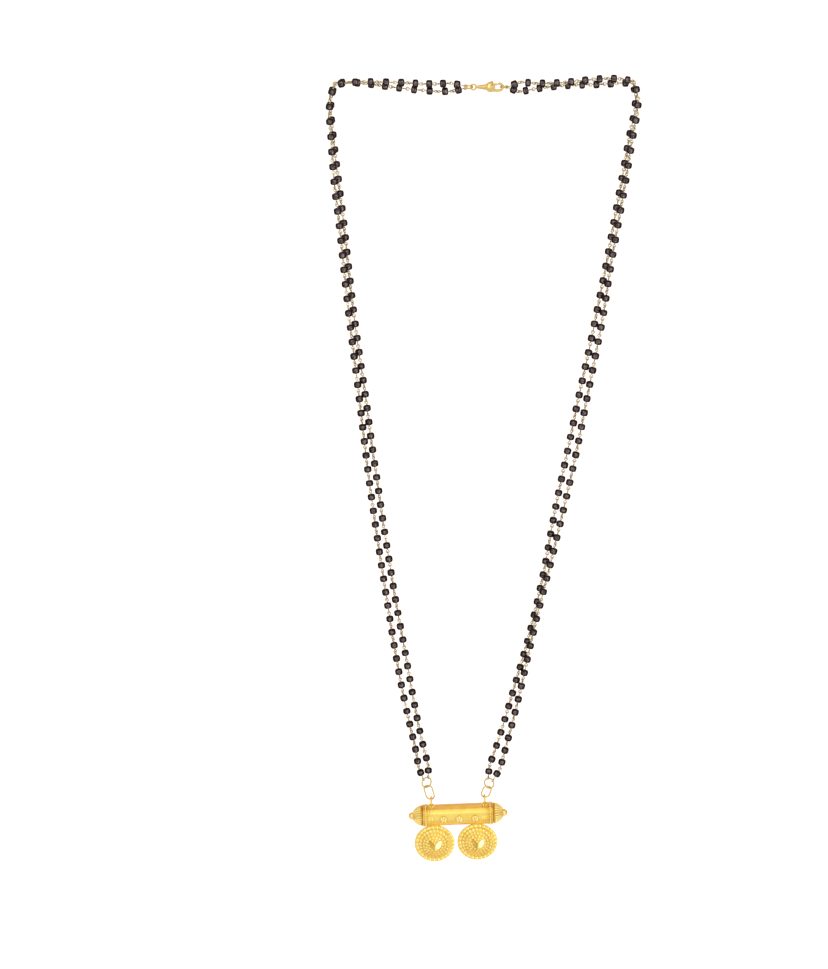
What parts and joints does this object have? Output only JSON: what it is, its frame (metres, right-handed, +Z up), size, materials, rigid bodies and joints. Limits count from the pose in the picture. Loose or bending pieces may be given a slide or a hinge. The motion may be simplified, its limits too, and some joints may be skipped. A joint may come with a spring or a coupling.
{
  "type": "mangalsutra necklace",
  "caption": "Double strand of drilled black glass beads on gold eye pins, with a claw clasp and a hanging gold tube pendant that carries two bowl-shaped vatis.",
  "frame": {"origin": "middle of the run behind the neck, where the necklace hangs", "axes": "+Z up, +X to the right as the front is seen, +Y away from the front"},
  "size_m": [0.1153, 0.0092, 0.3172],
  "materials": {
    "black_glass": "glossy black glass with a faint plum tint",
    "pin_gold": "bright drawn gold-plated wire",
    "ring_gold": "bright polished gold plate",
    "clasp_gold": "bright polished gold plate",
    "pendant_gold": "rich yellow gold plate, polished tube and cast relief"
  },
  "bodies": {
    "necklace": {"left_outer_beads": "black_glass", "left_inner_beads": "black_glass", "right_outer_beads": "black_glass", "right_inner_beads": "black_glass", "left_outer_wire": "pin_gold", "left_inner_wire": "pin_gold", "right_outer_wire": "pin_gold", "right_inner_wire": "pin_gold", "clasp_body": "clasp_gold", "tail_ring": "ring_gold", "catch_ring": "ring_gold", "left_upper_ring": "ring_gold", "right_upper_ring": "ring_gold", "left_link": "ring_gold", "right_link": "ring_gold"},
    "pendant": {"pendant_body": "pendant_gold", "left_cap": "pendant_gold", "right_cap": "pendant_gold"},
    "lever": {"clasp_lever": "clasp_gold"}
  },
  "joints": [
    {"name": "pendant_swing", "type": "hinge", "parent": "necklace", "child": "pendant", "pos_m": [-0.01888, 0, -0.28611], "axis": [0.9991, 0, 0.0419], "range_deg": [-60, 60]},
    {"name": "lever_turn", "type": "hinge", "parent": "necklace", "child": "lever", "pos_m": [0.00267, 0, 0.00057], "axis": [0, 1, 0], "range_deg": [0, 18], "stiffness_Nm_per_rad": 0.0001}
  ]
}
